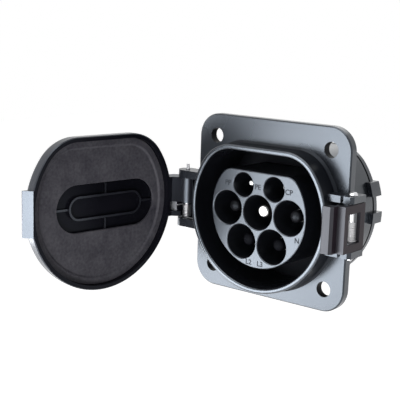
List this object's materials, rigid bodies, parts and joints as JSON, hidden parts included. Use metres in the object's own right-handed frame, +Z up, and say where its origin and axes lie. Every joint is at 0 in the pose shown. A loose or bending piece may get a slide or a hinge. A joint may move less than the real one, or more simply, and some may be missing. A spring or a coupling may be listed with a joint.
{
  "type": "charge port inlet",
  "caption": "Panel-mounted charge port inlet with a square flange, a D-shaped collar, recessed contact pins, a sprung hinged lid and a hooked latch that holds the lid shut.",
  "frame": {"origin": "on the axis of the central contact, in the plane of the flange's back face", "axes": "+Z up, towards the collar's flat top; -Y out of the front, towards the plug; +X to the right as the plug sees it"},
  "size_m": [0.1188, 0.1455, 0.0838],
  "materials": {
    "housing_plastic": "satin black moulded polyamide",
    "insert_plastic": "satin black moulded polyamide",
    "lid_plastic": "half gloss black moulded polyamide",
    "latch_plastic": "satin black moulded polyamide",
    "lid_rubber": "matt charcoal silicone rubber",
    "seal_rubber": "matt black rubber",
    "contact_silver": "bright silver-plated, turned",
    "guard_plastic": "dark moulded touch guard",
    "screw_steel": "bright stainless steel",
    "spring_steel": "drawn stainless wire"
  },
  "bodies": {
    "housing": {"housing": "housing_plastic", "flange_gasket": "seal_rubber", "contact_carrier": "insert_plastic", "line_1_pin": "contact_silver", "line_2_pin": "contact_silver", "line_3_pin": "contact_silver", "neutral_pin": "contact_silver", "earth_pin": "contact_silver", "proximity_pin": "contact_silver", "pilot_pin": "contact_silver", "line_1_tip": "guard_plastic", "line_2_tip": "guard_plastic", "line_3_tip": "guard_plastic", "neutral_tip": "guard_plastic", "contact_retainer": "insert_plastic", "retainer_screws": "screw_steel", "rear_seal_ring": "seal_rubber", "rear_cap": "housing_plastic", "outlet_grommet": "seal_rubber", "hinge_pin": "screw_steel", "hinge_spring": "spring_steel", "latch_pin": "screw_steel", "latch_spring": "spring_steel"},
    "lid": {"lid_shell": "lid_plastic", "lid_seal": "lid_rubber"},
    "latch": {"latch_lever": "latch_plastic"}
  },
  "joints": [
    {"name": "lid_swing", "type": "hinge", "parent": "housing", "child": "lid", "pos_m": [-0.0458, -0.008, 0], "axis": [0, 0, 1], "range_deg": [0, 99], "stiffness_Nm_per_rad": 0.03, "springref_deg": -28.65, "deforming": ["hinge_spring"]},
    {"name": "latch_press", "type": "hinge", "parent": "housing", "child": "latch", "pos_m": [0.0455, -0.0072, 0], "axis": [0, 0, 1], "range_deg": [0, 20], "stiffness_Nm_per_rad": 0.02, "springref_deg": -22.92, "deforming": ["latch_spring"]}
  ]
}
